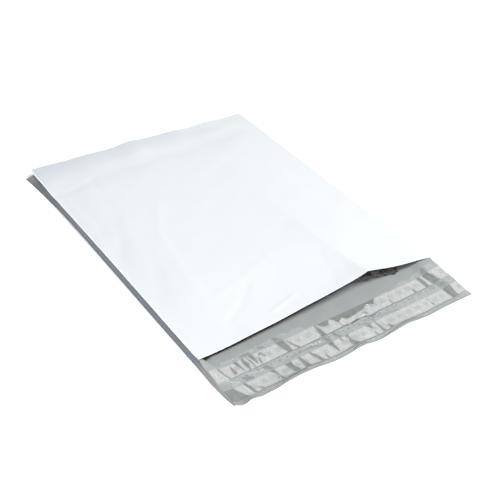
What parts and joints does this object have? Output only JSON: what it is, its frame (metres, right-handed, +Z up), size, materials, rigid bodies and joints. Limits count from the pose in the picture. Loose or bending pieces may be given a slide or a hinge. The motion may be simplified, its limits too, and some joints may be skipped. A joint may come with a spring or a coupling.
{
  "type": "poly mailer bag",
  "caption": "Flat open poly mailer: a folded, side-welded film pocket with a sealing lip, covered adhesive strips and a wad of clear cushion film in its mouth.",
  "frame": {"origin": "centre of the bounding box, on the surface that the bag lies on", "axes": "+X across the bag from its raised side to its low side, +Y from the lip to the far fold, +Z up from the back panel to the front panel"},
  "size_m": [0.3626, 0.5092, 0.031],
  "materials": {
    "mailer_film": "satin white polyethylene film, grey on its inner side",
    "adhesive": "tacky hot-melt adhesive, pale cream",
    "release_liner": "clear glossy wrinkled film",
    "cushion_film": "clear glossy crumpled film"
  },
  "bodies": {
    "root": {"mailer_film": "mailer_film", "adhesive_strip_inner": "adhesive", "adhesive_strip_outer": "adhesive", "release_liner": "release_liner", "cushion_film_wad": "cushion_film"}
  },
  "joints": []
}
